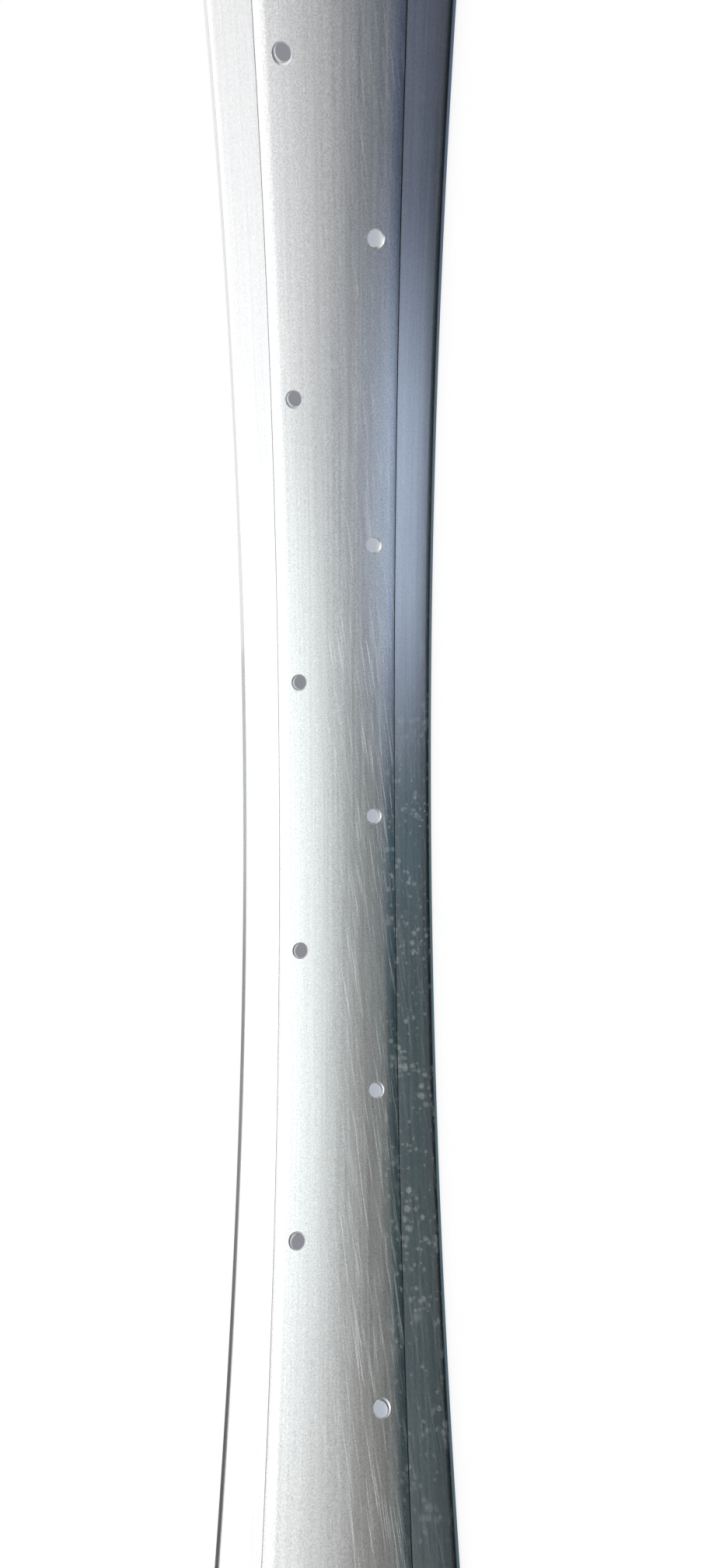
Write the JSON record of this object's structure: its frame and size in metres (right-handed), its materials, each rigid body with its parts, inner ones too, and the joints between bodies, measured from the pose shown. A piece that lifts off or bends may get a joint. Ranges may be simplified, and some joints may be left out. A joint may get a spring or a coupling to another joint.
{
  "type": "bicycle rim",
  "caption": "Wide single-wall aluminium bicycle rim with a crowned spoke bed, two staggered rows of spoke holes, sloping bead seats and flared sidewalls with hooked lips.",
  "frame": {"origin": "centre of the hoop, on its middle plane", "axes": "+Z along the axle, +X through the valve hole; the rim lies flat on its -Z lip"},
  "size_m": [0.572, 0.572, 0.069],
  "materials": {
    "aluminium": "mill finish, brushed fine along the hoop, with light scratches and a few pale spots"
  },
  "bodies": {
    "root": {"rim": "aluminium"}
  },
  "joints": []
}
